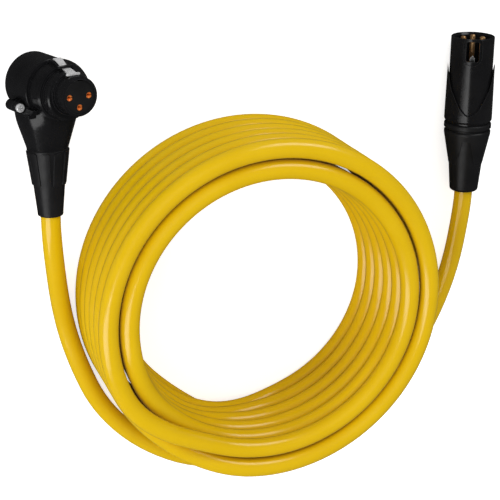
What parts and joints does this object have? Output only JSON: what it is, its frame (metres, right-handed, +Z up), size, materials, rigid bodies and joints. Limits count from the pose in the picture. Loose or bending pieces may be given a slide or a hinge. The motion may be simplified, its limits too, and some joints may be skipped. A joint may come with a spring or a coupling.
{
  "type": "microphone cable",
  "caption": "Coiled yellow microphone cable with a straight pin connector at one end and a right-angle latching socket connector at the other.",
  "frame": {"origin": "on the table, under the middle of the two connectors' bounding box", "axes": "+Z up, +Y along the straight connector towards its open nose, +X from the right-angle connector towards the straight one"},
  "size_m": [0.2178, 0.2011, 0.0492],
  "materials": {
    "cable_yellow": "satin moulded jacket",
    "gloss_black": "gloss black coating",
    "satin_black": "satin moulded",
    "insert_black": "moulded",
    "silver": "bright plated",
    "copper": "plated copper alloy",
    "core": "insulated conductor"
  },
  "bodies": {
    "cable_set": {"cable_coil": "cable_yellow", "cable_tail_pin": "cable_yellow", "cable_tail_socket": "cable_yellow", "f_assembly_screw": "silver", "f_core_1": "core", "f_core_2": "core", "f_core_3": "core", "f_elbow_housing": "gloss_black", "f_front_shell": "gloss_black", "f_insert": "insert_black", "f_latch_spring": "silver", "f_socket_1": "copper", "f_socket_2": "copper", "f_socket_3": "copper", "m_core_1": "core", "m_core_2": "core", "m_core_3": "core", "m_ground_spring": "silver", "m_insert": "insert_black", "m_pin_1": "silver", "m_pin_2": "silver", "m_pin_3": "silver", "m_shell": "gloss_black"},
    "socket_latch": {"f_latch": "silver"},
    "socket_chuck_body": {"f_chuck": "satin_black"},
    "socket_boot_body": {"f_boot": "satin_black"},
    "pin_ring_body": {"m_coding_ring": "satin_black", "m_chuck": "satin_black"},
    "pin_boot_body": {"m_boot": "satin_black"}
  },
  "joints": [
    {"name": "latch_press", "type": "hinge", "parent": "cable_set", "child": "socket_latch", "pos_m": [-0.0902, 0.03395, 0.02217], "axis": [0.9537, 0, -0.3007], "range_deg": [0, 5], "stiffness_Nm_per_rad": 0.03, "springref_deg": -3.44, "deforming": ["f_latch_spring"]},
    {"name": "socket_chuck_slide", "type": "slide", "parent": "cable_set", "child": "socket_chuck_body", "axis": [0, -1, 0], "range_m": [0, 0.003]},
    {"name": "socket_boot_turn", "type": "hinge", "parent": "socket_chuck_body", "child": "socket_boot_body", "pos_m": [-0.09285, -0.00505, 0.01378], "axis": [0, -1, 0], "range_deg": [0, 1082]},
    {"name": "pin_ring_slide", "type": "slide", "parent": "cable_set", "child": "pin_ring_body", "axis": [0, -1, 0], "range_m": [0, 0.003]},
    {"name": "pin_boot_turn", "type": "hinge", "parent": "pin_ring_body", "child": "pin_boot_body", "pos_m": [0.09825, -0.01335, 0.0106], "axis": [0, -1, 0], "range_deg": [0, 1082]}
  ],
  "couplings": [
    {"joint": "socket_boot_turn", "follows": "socket_chuck_slide", "rad_per_m": 6283.2},
    {"joint": "pin_boot_turn", "follows": "pin_ring_slide", "rad_per_m": 6283.2}
  ]
}
